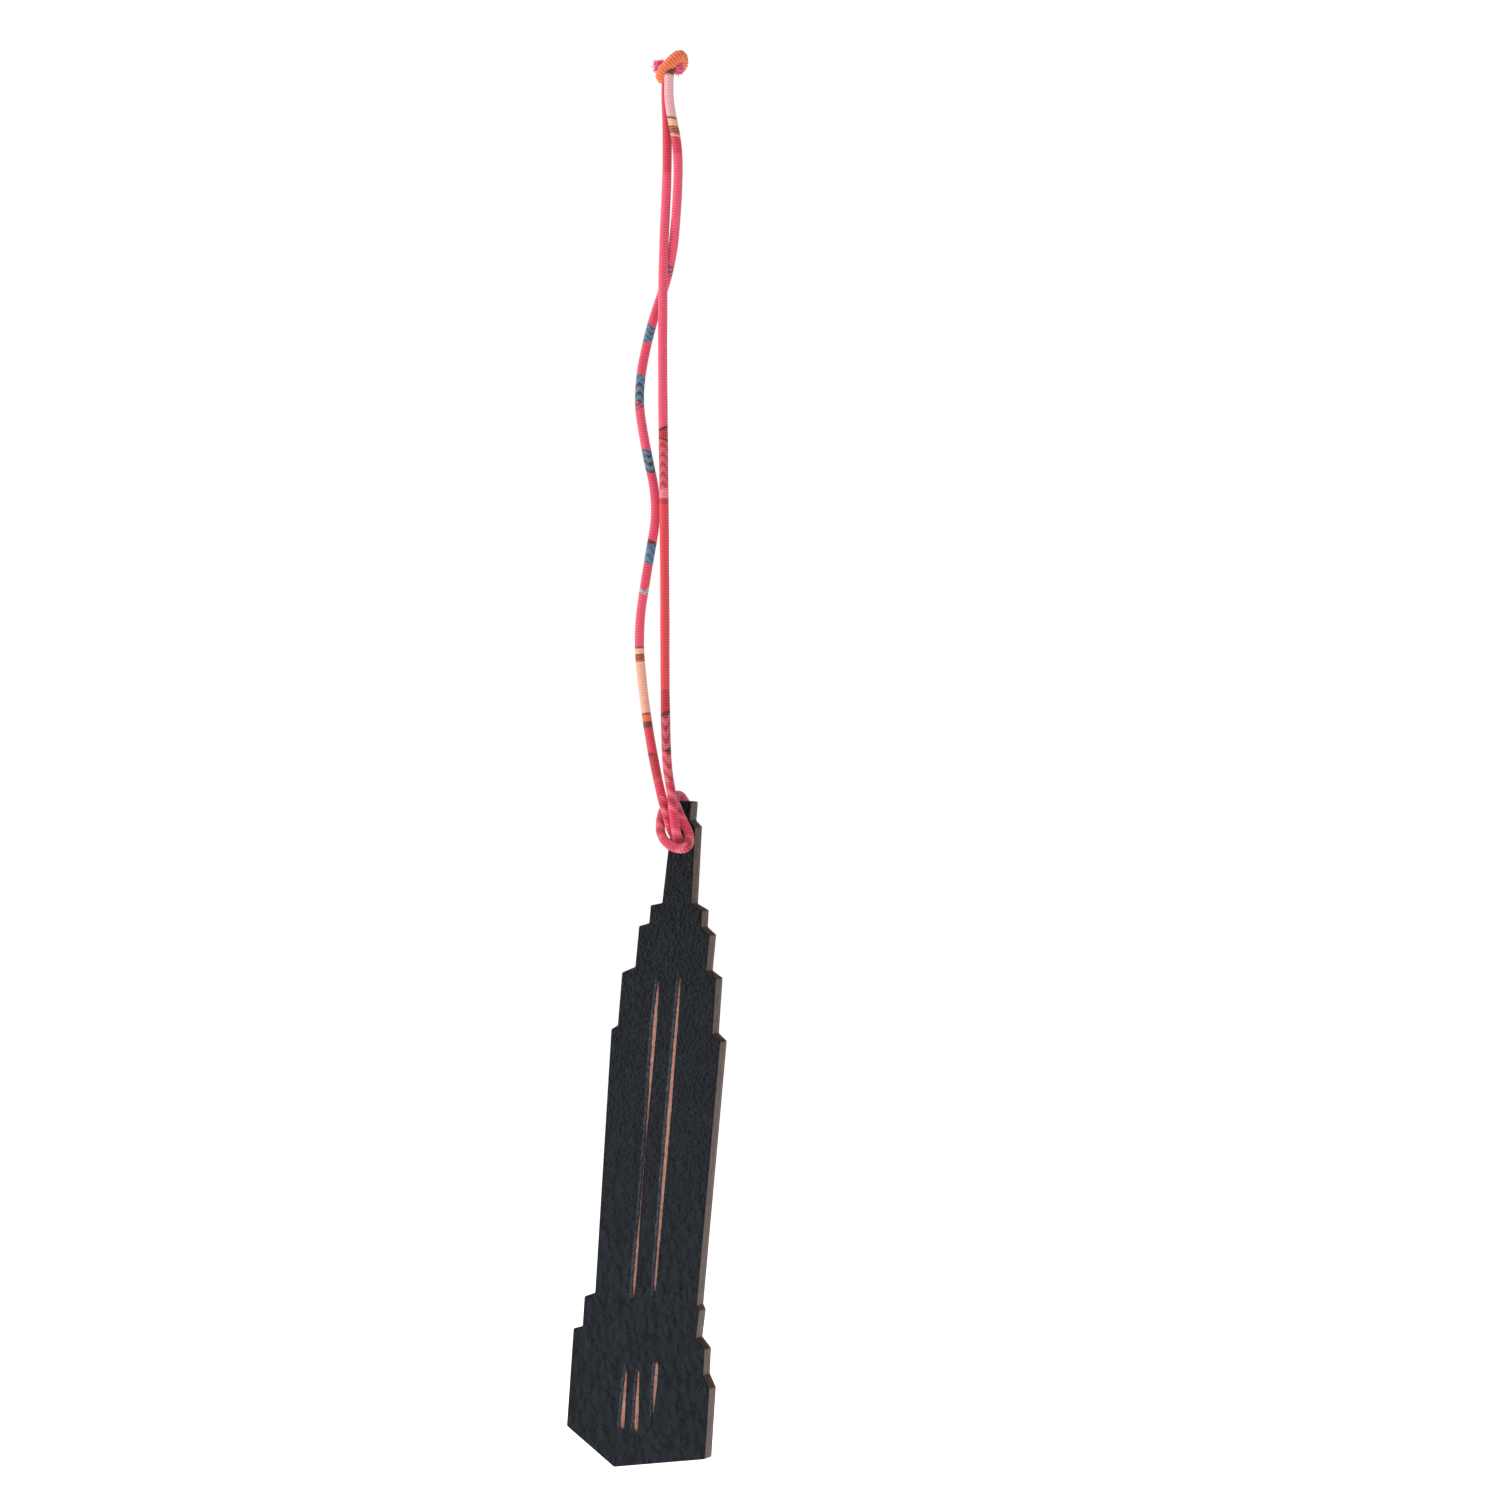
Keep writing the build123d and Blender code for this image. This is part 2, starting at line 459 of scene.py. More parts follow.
@dataclass(frozen=True)
class CutEdge:
    """The dyed and burnished edge of a cut leather layer."""

    name: str = "cut_edge"
    dye: Colour = srgb(82, 60, 50)
    shade: Colour = srgb(54, 38, 32)
    seam_y: tuple[float, ...] = (0.9,)
    seam_half: float = 0.07

    def build(self) -> Finish:
        """Make the edge's material, with a dark line where two layers are glued.

        Returns:
            The material.
        """
        g = Graph(self.name)
        place = g.coordinates((1000, 1000, 1000))
        fibres = g.noise(g.coordinates((500, 4200, 500)), 1.0, 4.0, 0.6)
        blotch = g.noise(place, 0.7, 3.0)
        grit = g.noise(place, 9.0, 3.0)
        colour = g.mix(g.span(fibres, 0.35, 0.7), self.shade, self.dye)
        colour = g.mix(g.span(blotch, 0.4, 0.65, 0.0, 0.45), colour, srgb(98, 76, 66))
        across = g.axis(place, "Y")
        for seam in self.seam_y:
            gap = g.math("ABSOLUTE", g.math("SUBTRACT", across, seam))
            line = g.span(gap, self.seam_half * 0.4, self.seam_half * 1.6, 0.75, 0.0)
            colour = g.mix(line, colour, srgb(58, 42, 38))
        height = g.math("ADD", g.math("MULTIPLY", fibres, 0.7), g.math("MULTIPLY", grit, 0.3))
        return g.finish(
            colour, g.span(grit, 0.3, 0.7, 0.34, 0.52), g.bump(height, 0.00006), specular=0.25
        )


@dataclass(frozen=True)
class NappedLeather:
    """The fibrous inside of a leather layer, or a wall that was cut through it."""

    name: str
    base: Colour
    light: Colour
    dark: Colour
    relief: float = 0.00009

    def build(self) -> Finish:
        """Make the napped leather's material.

        Returns:
            The material.
        """
        g = Graph(self.name)
        place = g.coordinates((1000, 1000, 1000))
        nap = g.noise(g.coordinates((3200, 2200, 1300)), 1.0, 4.0, 0.65)
        patches = g.noise(place, 1.3, 3.0)
        colour = g.mix(g.span(nap, 0.4, 0.72), self.base, self.light)
        colour = g.mix(g.span(patches, 0.5, 0.75, 0.0, 0.7), colour, self.dark)
        return g.finish(
            colour, 0.85, g.bump(nap, self.relief), specular=0.2, sheen=0.25,
            sheen_tint=self.light,
        )


@dataclass(frozen=True)
class TwillCord:
    """Thin printed twill, sewn round a filling. The print is a colour on the mesh, and so is the
    painted shading of its ribs and seam.
    """

    name: str = "twill_cord"
    threads_per_mm: float = 6.0
    fading: float = 0.16

    def build(self) -> Finish:
        """Make the twill's material.

        Returns:
            The material.
        """
        g = Graph(self.name)
        along = g.surface((1000, 5.03, 1))
        printed = g.mix(self.fading, g.attribute("print"), (0.0, 0.0, 0.0))
        rib = g.axis(g.attribute("rib_shading"), "X")
        threads = g.noise(along, self.threads_per_mm, 3.0, 0.6)
        cloth = g.noise(g.coordinates((1000, 1000, 1000)), 1.6, 3.0)
        # A darkened copy of the print: painted shade in the rib valleys and seam groove, and below also
        # random darker patches of cloth.
        dark = g.mix(0.45, printed, (0.08, 0.004, 0.012))
        colour = g.mix(g.span(rib, 0.0, 0.5), dark, printed)
        # A paler copy of the print: painted highlight on the rib crests.
        pale = g.mix(0.16, printed, (1.0, 0.82, 0.8))
        colour = g.mix(g.math("MULTIPLY", g.span(rib, 0.6, 1.0), 0.5), colour, pale)
        colour = g.mix(g.span(cloth, 0.45, 0.75, 0.0, 0.22), colour, dark)
        normal = g.bump(threads, 0.00003)
        return g.finish(
            colour, 0.72, normal, specular=0.28, sheen=0.35, sheen_tint=(1.0, 0.8, 0.8)
        )


@dataclass(frozen=True)
class LooseFibre:
    """Fine threads, in patches of their root colour and their tip colour."""

    name: str
    root: Colour
    tip: Colour

    def build(self) -> Finish:
        """Make the threads' material.

        Returns:
            The material.
        """
        g = Graph(self.name)
        patches = g.noise(g.coordinates((1000, 1000, 1000)), 2.2, 3.0)
        colour = g.mix(g.span(patches, 0.35, 0.65), self.root, self.tip)
        return g.finish(colour, 0.75, None, specular=0.25, sheen=0.3, sheen_tint=self.tip)


@dataclass(frozen=True)
class PalePaper:
    """The plain pale ground."""

    name: str = "pale_paper"

    def build(self) -> Finish:
        """Make the ground's material.

        Returns:
            The material.
        """
        g = Graph(self.name)
        g.shader.inputs["Emission Color"].default_value = (1.0, 1.0, 1.0, 1.0)
        g.shader.inputs["Emission Strength"].default_value = 0.92
        return g.finish((0.85, 0.85, 0.85), 0.9, specular=0.0)


# ---- The charm -------------------------------------------------------------------------


@dataclass(frozen=True)
class Slit:
    """A narrow slit in the slitted panel, in millimetres across and up the charm.

    Its widths are pairs of how far down the slit they are, from 0 to 1, and the width.
    """

    across: float
    top: float
    length: float
    drift: float
    widths: tuple[tuple[float, float], ...]

    def half_width(self, down: float) -> float:
        """Half the slit's width at a share of its length."""
        places = [place for place, _ in self.widths]
        values = [value for _, value in self.widths]
        return float(np.interp(down, places, values)) / 2

    def middle(self, down: float) -> float:
        """Where the slit's middle is across the charm at a share of its length."""
        return self.across + self.drift * down


@dataclass
class TowerCharm:
    """The three bonded leather layers, their slits and the fibres in the slits."""

    body: str = "charm"
    hole: Point = (3.8, 0.0, -148.5)
    lean: float = math.radians(5.2)
    shoulder: float = 0.28
    edge_break: float = 0.07
    slits: tuple[Slit, ...] = (
        Slit(-2.8, -26.6, 64.0, 0.3, (
            (0.0, 0.5), (0.05, 1.15), (0.15, 1.45), (0.28, 1.3), (0.42, 0.95),
            (0.55, 0.75), (0.72, 0.8), (0.82, 1.15), (0.95, 1.2), (1.0, 0.6))),
        Slit(1.8, -25.2, 64.0, 0.1, (
            (0.0, 0.5), (0.04, 0.95), (0.15, 1.2), (0.4, 1.4), (0.6, 1.35),
            (0.8, 1.2), (0.95, 1.1), (1.0, 0.5))),
        Slit(-2.7, -102.8, 13.0, 0.1, (
            (0.0, 0.3), (0.15, 1.0), (0.5, 1.3), (0.9, 1.5), (0.97, 1.2), (1.0, 0.5))),
        Slit(-0.1, -102.8, 13.0, 0.5, (
            (0.0, 0.4), (0.1, 0.95), (0.5, 1.35), (0.9, 1.5), (0.97, 1.2), (1.0, 0.5))),
        Slit(3.7, -101.2, 13.0, 0.0, (
            (0.0, 0.5), (0.06, 1.2), (0.3, 1.4), (0.5, 1.2), (0.75, 0.8), (1.0, 0.3))),
    )
    rag: float = 0.07
    cut_every: float = 0.32
    overcut: float = 0.4
    narrowest: float = 0.08
    fibres_per_mm: float = 6.0

    def on_charm(self, across: float, y: float, up: float) -> Vector:
        """A point across, in depth and up the leaning charm, in metres in the frame."""
        x = self.hole[0] + across * math.cos(self.lean) + up * math.sin(self.lean)
        z = self.hole[2] - across * math.sin(self.lean) + up * math.cos(self.lean)
        return Vector((x, y, z)) * MM

    def across_up(self, point: Vector) -> tuple[float, float]:
        """How far across and up the charm a point of the frame is, in millimetres."""
        x = point.x / MM - self.hole[0]
        z = point.z / MM - self.hole[2]
        across = x * math.cos(self.lean) - z * math.sin(self.lean)
        up = x * math.sin(self.lean) + z * math.cos(self.lean)
        return across, up

    def layer_copy(self, node: str, name: str) -> Piece:
        """Copy a layer of the frame as clean large faces.

        Args:
            node: The layer's node.
            name: The new piece's name.

        Returns:
            The new piece.
        """
        source = bpy.data.objects[node]
        piece = add_object(name, source.data.copy())
        piece.data.materials.clear()
        with editing(piece):
            bpy.ops.mesh.select_all(action="SELECT")
            bpy.ops.mesh.remove_doubles(threshold=2e-7)
            bpy.ops.mesh.dissolve_limited(angle_limit=math.radians(0.5))
        return piece

    def round_rim(self, piece: Piece, y: float, width: float, steps: int) -> None:
        """Round the rim where the face at y meets the sides.

        Args:
            piece: The layer.
            y: The face's place in depth, in metres.
            width: The width of the rounding, in millimetres.
            steps: The number of faces across it.
        """
        with editing(piece):
            mesh = bmesh.from_edit_mesh(piece.data)
            bpy.ops.mesh.select_all(action="DESELECT")
            for edge in mesh.edges:
                flat = all(abs(v.co.y - y) < 2e-6 for v in edge.verts)
                edge.select = flat and edge.calc_face_angle(0.0) > math.radians(50)
            bmesh.update_edit_mesh(piece.data)
            bpy.ops.mesh.bevel(
                offset=width * MM, segments=steps, profile=0.5, affect="EDGES",
                clamp_overlap=False, loop_slide=False,
            )

    def slit_cutter(self, slit: Slit, front: float, back: float, seed: int) -> Piece:
        """Model the ragged space of one slit.

        Args:
            slit: The slit.
            front: The panel's seen face, in millimetres.
            back: The panel's inner face, in millimetres.
            seed: What makes this slit's raggedness its own.

        Returns:
            The cutter.
        """
        deselect_all()
        bpy.ops.mesh.primitive_cube_add(size=1.0, location=(0, 0, 0))
        cutter = bpy.context.object
        with editing(cutter):
            for axis, cuts in (("z", int(slit.length / self.cut_every)), ("y", 3)):
                mesh = bmesh.from_edit_mesh(cutter.data)
                bpy.ops.mesh.select_all(action="DESELECT")
                for edge in mesh.edges:
                    along = edge.verts[0].co - edge.verts[1].co
                    edge.select = abs(getattr(along, axis)) > 0.9 * along.length
                bmesh.update_edit_mesh(cutter.data)
                bpy.ops.mesh.subdivide(number_cuts=cuts)
        shift = Vector((seed * 7.3, 0, 0))
        for vertex in cutter.data.vertices:
            side, deep, down = vertex.co.x * 2, vertex.co.y + 0.5, 0.5 - vertex.co.z
            y = front - self.overcut + deep * (back - front + 2 * self.overcut)
            up = slit.top - slit.length * down
            wander = noise.noise(Vector((up * 0.35, side * 3, deep)) + shift)
            rag = noise.noise(Vector((up * 2.6, side * 5 + deep * 2.0, 0)) + shift)
            half = slit.half_width(down) + self.rag * (0.7 * wander + rag)
            across = slit.middle(down) + side * max(half, self.narrowest)
            vertex.co = self.on_charm(across, y, up + 0.12 * rag)
        with editing(cutter):
            bpy.ops.mesh.select_all(action="SELECT")
            bpy.ops.mesh.normals_make_consistent(inside=False)
        return cutter

    def cut_slits(self, panel: Piece, front: float, back: float) -> None:
        """Cut every slit out of the panel.

        Args:
            panel: The slitted panel.
            front: The panel's seen face, in millimetres.
            back: The panel's inner face, in millimetres.
        """
        for number, slit in enumerate(self.slits):
            cutter = self.slit_cutter(slit, front, back, number)
            modifier = panel.modifiers.new(f"slit_{number}", "BOOLEAN")
            modifier.operation = "DIFFERENCE"
            modifier.solver = "EXACT"
            modifier.object = cutter
            apply_modifiers(panel)
            bpy.data.objects.remove(cutter, do_unlink=True)

    def in_slit(self, point: Vector) -> bool:
        """Whether a point lies at a slit, and not at the outline or the hole."""
        across, up = self.across_up(point)
        for slit in self.slits:
            down = (slit.top - up) / slit.length
            if -0.08 < down < 1.08 and abs(across - slit.middle(down)) < 1.4:
                return True
        return False

    def paint_faces(self, piece: Piece, seen_side: float) -> None:
        """Give each face its finish: 0 the grain, 1 the cut edge, 2 a slit's wall.

        Args:
            piece: The layer.
            seen_side: -1 or 1, the side along Y on which its grain is, or 0 for none.
        """
        for face in piece.data.polygons:
            side_on = abs(face.normal.y) < (0.35 if seen_side else 0.95)
            if side_on:
                cut = seen_side and self.in_slit(face.center)
                face.material_index = 2 if cut else 1
            elif seen_side and face.normal.y * seen_side > 0:
                face.material_index = 0
            else:
                face.material_index = 3 if seen_side else 0

    def shade(self, piece: Piece) -> None:
        """Smooth the roundings and keep the large faces flat."""
        make_active(piece)
        bpy.ops.object.shade_smooth_by_angle(angle=math.radians(40))
        weighted = piece.modifiers.new("weighted", "WEIGHTED_NORMAL")
        weighted.keep_sharp = True
        weighted.weight = 100
        apply_modifiers(piece)

    def slit_fibres(self, front: float, back: float) -> Piece:
        """Model the short fibres that stand out of the slits' left walls.

        Args:
            front: The panel's seen face, in millimetres.
            back: The panel's inner face, in millimetres.

        Returns:
            The fibres as one piece.
        """
        chance = random.Random(41)
        pattern = single_fibre("fibre_pattern", 0.016, 0.006)
        fibres = []
        for slit in self.slits:
            for _ in range(int(slit.length * self.fibres_per_mm)):
                down = chance.uniform(0.01, 0.99)
                half = slit.half_width(down)
                if half < 0.2:
                    continue
                depth = chance.uniform(0.0, 0.8)
                y = front + 0.05 + depth * (back - front) * 0.8
                root = self.on_charm(
                    slit.middle(down) - half - 0.04, y, slit.top - slit.length * down
                )
                reach = chance.uniform(0.16, 0.42) * min(1.0, half / 0.5)
                heading = Vector((1.0, -chance.uniform(0.1, 1.5), chance.uniform(-0.9, 0.9)))
                fibres.append(
                    place_fibre(pattern, root, heading, reach, chance.uniform(0, math.tau))
                )
        bpy.data.objects.remove(pattern, do_unlink=True)
        return join(fibres, "slit_fibres")

    def build(self) -> list[Piece]:
        """Build and dress the three layers and the fibres.

        Returns:
            The pieces.
        """
        low, high = (v / MM for v in (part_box("slitted_panel")[0][1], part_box("slitted_panel")[1][1]))
        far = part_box("plain_panel")[1][1]
        grain = PebbledLeather().build()
        edge = CutEdge().build()
        wall = NappedLeather(
            "slit_wall", srgb(58, 68, 76), srgb(104, 118, 128), srgb(34, 40, 47)
        ).build()
        flesh = NappedLeather(
            "copper_flesh", srgb(244, 164, 140), srgb(255, 214, 196), srgb(196, 116, 96)
        ).build()

        slitted = self.layer_copy("core_layer", "slitted_leather")
        self.seat(slitted, low, high)
        self.round_rim(slitted, low * MM, self.shoulder, 4)
        self.cut_slits(slitted, low, high)
        dress(slitted, grain, edge, wall, flesh)
        self.paint_faces(slitted, -1)
        self.shade(slitted)

        core = self.layer_copy("core_layer", "core_leather")
        core_low, core_high = (v[1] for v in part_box("core_layer"))
        self.round_rim(core, core_high, self.edge_break, 2)
        dress(core, flesh, edge)
        self.paint_faces(core, 0)
        self.shade(core)

        plain = self.layer_copy("plain_panel", "plain_leather")
        self.round_rim(plain, far, self.shoulder, 4)
        self.round_rim(plain, core_high, self.edge_break, 2)
        dress(plain, grain, edge, wall, flesh)
        self.paint_faces(plain, 1)
        self.shade(plain)

        fibres = self.slit_fibres(low, high)
        dress(
            fibres,
            LooseFibre("slit_fibre", srgb(110, 126, 138), srgb(214, 224, 230)).build(),
        )
        for piece, node, slot in (
            (slitted, "slitted_panel", "grained_leather"),
            (core, "core_layer", "core_leather"),
            (plain, "plain_panel", "backing_leather"),
        ):
            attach(piece, self.body)
            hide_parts(node)
        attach(fibres, self.body)
        return [slitted, core, plain, fibres]

    def seat(self, piece: Piece, low: float, high: float) -> None:
        """Spread a layer's depth from low to high, in millimetres."""
        ys = [v.co.y for v in piece.data.vertices]
        bottom, top = min(ys), max(ys)
        for vertex in piece.data.vertices:
            share = (vertex.co.y - bottom) / (top - bottom)
            vertex.co.y = (low + share * (high - low)) * MM


# ---- Fibres ----------------------------------------------------------------------------


def single_fibre(name: str, root: float, tip: float) -> Piece:
    """Model one curved fibre of unit length that stands along Z.

    Args:
        name: The piece's name.
        root: Its radius at the root, in shares of 1 mm.
        tip: Its radius at the tip, in shares of 1 mm.

    Returns:
        The fibre.
    """
    deselect_all()
    bpy.ops.mesh.primitive_cone_add(
        vertices=4, radius1=root, radius2=tip, depth=1.0, location=(0, 0, 0.5),
        end_fill_type="TRIFAN",
    )
    fibre = bpy.context.object
    fibre.name = name
    settle(fibre)
    with editing(fibre):
        mesh = bmesh.from_edit_mesh(fibre.data)
        bpy.ops.mesh.select_all(action="DESELECT")
        for edge in mesh.edges:
            along = edge.verts[0].co - edge.verts[1].co
            edge.select = abs(along.z) > 0.5
        bmesh.update_edit_mesh(fibre.data)
        bpy.ops.mesh.subdivide(number_cuts=3)
    for vertex in fibre.data.vertices:
        vertex.co.x += 0.28 * vertex.co.z**2
    return fibre


def place_fibre(
    pattern: Piece, root: Vector, heading: Vector, length: float, turn: float
) -> Piece:
    """Copy a fibre to its place.

    Args:
        pattern: The fibre to copy, of unit length along Z.
        root: Where it starts, in metres.
        heading: Where it points.
        length: Its length, in millimetres.
        turn: How far it is turned about its own length, in radians.

    Returns:
        The copy, with its place in its mesh.
    """
    copy = add_object("fibre", pattern.data.copy())
    aim = heading.to_track_quat("Z", "Y").to_matrix().to_4x4()
    spin = Matrix.Rotation(turn, 4, "Z")
    size = Matrix.Diagonal((MM, MM, MM * length, 1.0))
    copy.data.transform(Matrix.Translation(root) @ aim @ spin @ size)
    return copy


# ---- The cord --------------------------------------------------------------------------


class Strand(Enum):
    """The two strands of the loop."""

    LEFT = "left"
    RIGHT = "right"


class Edge(Enum):
    """How a printed stretch of cord begins, from the viewer's left to the right."""

    STRAIGHT = 0.0
    RISING = 0.35
    FALLING = -0.35


@dataclass(frozen=True)
class Print:
    """A printed stretch of a strand, from its top down to the next, in millimetres of
    height below the hang point."""

    strand: Strand
    top: float
    colour: Colour
    edge: Edge = Edge.STRAIGHT
    second: Colour | None = None
    pitch: float = 0.0


CORAL = srgb(244, 84, 114)
ROSE = srgb(232, 72, 100)
CRIMSON = srgb(226, 58, 84)
DEEP = srgb(200, 44, 52)
RED = srgb(233, 66, 76)
DARK = srgb(92, 28, 40)
BROWN = srgb(116, 56, 34)
PEACH = srgb(253, 190, 158)
CREAM = srgb(248, 192, 146)
LIGHT_PINK = srgb(252, 184, 190)
ORANGE = srgb(244, 118, 66)
TEAL = srgb(62, 146, 170)
SLATE = srgb(84, 84, 116)

L, R = Strand.LEFT, Strand.RIGHT
PRINTS: tuple[Print, ...] = (
    Print(L, 9.0, BROWN),
    Print(L, 0.7, LIGHT_PINK),
    Print(L, -7.5, DARK, Edge.FALLING),
    Print(L, -7.9, CREAM, Edge.FALLING),
    Print(L, -9.3, BROWN, Edge.FALLING, srgb(222, 120, 62), 0.5),
    Print(L, -10.9, LIGHT_PINK, Edge.FALLING),
    Print(L, -11.3, CRIMSON, Edge.FALLING),
    Print(L, -14.6, CORAL),
    Print(L, -35.8, SLATE, Edge.FALLING, CORAL, 0.9),
    Print(L, -38.2, CORAL, Edge.RISING),
    Print(L, -42.5, ROSE),
    Print(L, -47.6, SLATE, Edge.FALLING, TEAL, 1.0),
    Print(L, -50.9, ROSE, Edge.RISING),
    Print(L, -57.2, SLATE, Edge.FALLING, TEAL, 1.3),
    Print(L, -58.4, TEAL, Edge.RISING, DARK, 1.7),
    Print(L, -62.6, SLATE, Edge.FALLING, ROSE, 1.0),
    Print(L, -63.9, CORAL, Edge.RISING),
    Print(L, -72.0, SLATE, Edge.FALLING, TEAL, 1.2),
    Print(L, -73.3, TEAL, Edge.RISING, DARK, 1.6),
    Print(L, -76.6, ROSE, Edge.FALLING),
    Print(L, -89.7, DARK, Edge.FALLING),
    Print(L, -90.4, TEAL, Edge.RISING, SLATE, 1.5),
    Print(L, -94.2, ROSE, Edge.FALLING),
    Print(L, -98.9, srgb(150, 190, 205), Edge.RISING, ROSE, 2.4),
    Print(L, -100.1, CORAL, Edge.FALLING),
    Print(L, -110.5, DARK),
    Print(L, -110.8, PEACH),
    Print(L, -111.9, BROWN, Edge.STRAIGHT, srgb(214, 110, 60), 0.6),
    Print(L, -113.4, PEACH),
    Print(L, -123.5, DARK),
    Print(L, -123.8, ORANGE),
    Print(L, -125.2, BROWN),
    Print(L, -126.4, CRIMSON),
    Print(L, -131.5, DARK, Edge.FALLING),
    Print(L, -131.8, srgb(204, 52, 64)),
    Print(L, -136.2, srgb(222, 92, 106), Edge.RISING, RED, 2.0),
    Print(R, 9.0, CRIMSON),
    Print(R, -18.0, CORAL),
    Print(R, -67.7, DARK, Edge.RISING),
    Print(R, -68.3, DEEP, Edge.RISING),
    Print(R, -69.9, DARK, Edge.FALLING),
    Print(R, -70.3, srgb(226, 96, 112), Edge.FALLING, srgb(190, 52, 62), 1.9),
    Print(R, -79.8, srgb(244, 132, 146), Edge.RISING),
    Print(R, -81.6, DEEP),
    Print(R, -82.6, RED),
    Print(R, -118.9, DEEP),
    Print(R, -123.2, DARK, Edge.RISING),
    Print(R, -124.0, srgb(214, 96, 110), Edge.RISING, srgb(176, 44, 54), 2.4),
    Print(R, -130.6, DARK, Edge.RISING),
    Print(R, -131.2, srgb(232, 108, 122), Edge.FALLING, srgb(196, 52, 64), 2.6),
)


@dataclass
class TwillTube:
    """A round tube of twill along a path, with ribs, a seam, a printed colour and the painted shading
    of its ribs and seam.
    """

    name: str
    path: np.ndarray
    radius: float
    around: int = 18
    step: float = 0.155 * MM
    rib_pitch: float = 0.55 * MM
    rib_depth: float = 0.04 * MM
    rib_rake: float = 0.55
    seam_at: float = 2.0
    seam_width: float = 0.2
    seam_depth: float = 0.05 * MM
    facing: Point = (0.39, -0.92, 0.0)
    settling: float = 0.03

    def even_path(self) -> tuple[np.ndarray, np.ndarray]:
        """The path at even steps.

        Returns:
            The points, and how far along the path each one is.
        """
        runs = np.linalg.norm(np.diff(self.path, axis=0), axis=1)
        keep = np.concatenate(([True], runs > 1e-9))
        path = self.path[keep]
        far = np.concatenate(([0.0], np.cumsum(np.linalg.norm(np.diff(path, axis=0), axis=1))))
        count = max(8, int(far[-1] / self.step))
        even = np.linspace(0.0, far[-1], count)
        return np.stack([np.interp(even, far, path[:, k]) for k in range(3)], axis=1), even

    def build(
        self, colour_at: Callable[[np.ndarray, np.ndarray, np.ndarray], np.ndarray]
    ) -> Piece:
        """Build the tube.

        Args:
            colour_at: Gives the printed colour for each point's distance along, its
                angle around and its height.

        Returns:
            The tube as a mesh piece.
        """
        points, along = self.even_path()
        tangents = np.gradient(points, axis=0)
        tangents /= np.linalg.norm(tangents, axis=1)[:, None]
        facing = np.array(self.facing)
        side = facing
        sides = []
        for tangent in tangents:
            side = side + self.settling * (facing - tangent * (facing @ tangent))
            side = side - tangent * (side @ tangent)
            side /= np.linalg.norm(side)
            sides.append(side)
        sides = np.array(sides)
        ups = np.cross(tangents, sides)
        angle = np.linspace(0, math.tau, self.around, endpoint=False)
        turn, far = np.meshgrid(angle, along)
        fold = np.abs((turn + math.pi - 0.25) % math.tau - math.pi)
        phase = far / self.rib_pitch - self.rib_rake * fold
        rib = 0.5 + 0.5 * np.cos(math.tau * phase)
        seam = np.abs((turn - self.seam_at - 0.25 * np.sin(far * 90) + math.pi) % math.tau - math.pi)
        groove = np.exp(-((seam / self.seam_width) ** 2))
        swell = 0.012 * np.sin(far * 310 + turn * 2) + 0.01 * np.sin(far * 730 + 1.3)
        reach = self.radius * (0.985 + swell) - self.rib_depth * (1 - rib)
        reach -= self.seam_depth * groove
        ends = np.minimum(far, along[-1] - far) / (self.radius * 0.9)
        reach *= np.sqrt(np.clip(1 - (1 - np.clip(ends, 0, 1)) ** 2, 0.02, 1))
        ring = (
            np.cos(turn)[..., None] * sides[:, None, :]
            + np.sin(turn)[..., None] * ups[:, None, :]
        )
        vertices = (points[:, None, :] + ring * reach[..., None]).reshape(-1, 3)
        rows, cols = len(points), self.around
        a = (np.arange(rows - 1)[:, None] * cols + np.arange(cols)[None, :]).ravel()
        b = (np.arange(rows - 1)[:, None] * cols + (np.arange(cols) + 1)[None, :] % cols).ravel()
        quads = np.stack([a, a + cols, b + cols, b], axis=1)
        caps = [list(range(cols)), list(range((rows - 1) * cols, rows * cols))[::-1]]
        mesh = bpy.data.meshes.new(self.name)
        mesh.from_pydata(vertices.tolist(), [], quads.tolist() + caps)
        piece = add_object(self.name, mesh)
        self.add_map(mesh, along, rows)
        height = np.repeat(points[:, 2], cols).reshape(rows, cols)
        self.paint(mesh, "print", colour_at(far, turn, height).reshape(-1, 3))
        # Painted shading for the material: low in the rib valleys and the seam groove as painted shade,
        # high on the rib crests as painted highlight.
        shade = np.clip(rib * (1 - 0.7 * groove), 0, 1)
        self.paint(mesh, "rib_shading", np.repeat(shade.reshape(-1, 1), 3, axis=1))
        with editing(piece):
            bpy.ops.mesh.select_all(action="SELECT")
            bpy.ops.mesh.normals_make_consistent(inside=False)
        bpy.ops.object.shade_smooth()
        return piece

    def add_map(self, mesh: bpy.types.Mesh, along: np.ndarray, rows: int) -> None:
        """Lay the UV map, metres along by turns around."""
        cols = self.around
        layer = mesh.uv_layers.new(name="along")
        ring, slot = np.divmod(np.array([loop.vertex_index for loop in mesh.loops]), cols)
        turns = slot / cols
        quads = (rows - 1) * cols
        turns[: quads * 4].reshape(-1, 4)[cols - 1 :: cols, 2:] = 1.0
        uv = np.stack([along[np.clip(ring, 0, rows - 1)], turns], axis=1)
        layer.data.foreach_set("uv", uv.astype(np.float32).ravel())

    def paint(self, mesh: bpy.types.Mesh, name: str, colours: np.ndarray) -> None:
        """Store a colour for each vertex."""
        layer = mesh.attributes.new(name, "FLOAT_COLOR", "POINT")
        solid = np.concatenate([colours, np.ones((len(colours), 1))], axis=1)
        layer.data.foreach_set("color", solid.astype(np.float32).ravel())


